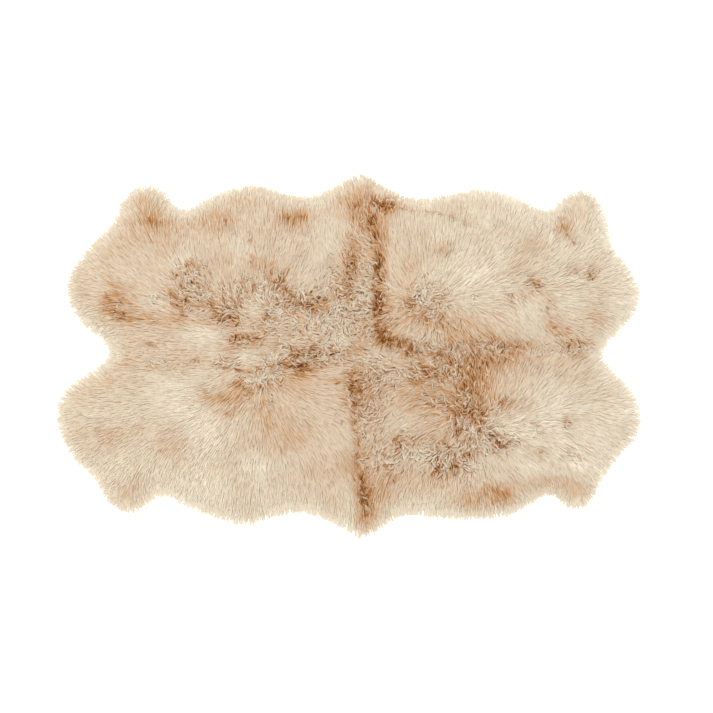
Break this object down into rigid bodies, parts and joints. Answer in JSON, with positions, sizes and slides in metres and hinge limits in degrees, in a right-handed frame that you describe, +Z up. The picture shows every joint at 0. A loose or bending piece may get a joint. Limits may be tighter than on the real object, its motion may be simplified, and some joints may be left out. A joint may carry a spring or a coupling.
{
  "type": "sheepskin rug",
  "caption": "Long-wool sheepskin rug of skins sewn edge to edge, lying flat with the wool up and a wavy outer rim of soft combed locks.",
  "frame": {"origin": "on the floor, under the middle of the rug's bounding box", "axes": "+X along the rug's length to the right of the picture, +Y across it to the far side, which is the top of the picture, +Z up out of the wool"},
  "size_m": [1.8, 1.1386, 0.0741],
  "materials": {
    "combed_wool": "long combed wool, cream to pinkish beige, brown deep in its partings",
    "tanned_hide": "tanned flesh side of the hide, matt suede, pale buff"
  },
  "bodies": {
    "root": {"hide_far_left": "tanned_hide", "hide_far_right": "tanned_hide", "hide_near_left": "tanned_hide", "hide_near_right": "tanned_hide", "wool_far_left": "combed_wool", "wool_far_right": "combed_wool", "wool_near_left": "combed_wool", "wool_near_right": "combed_wool"}
  },
  "joints": []
}
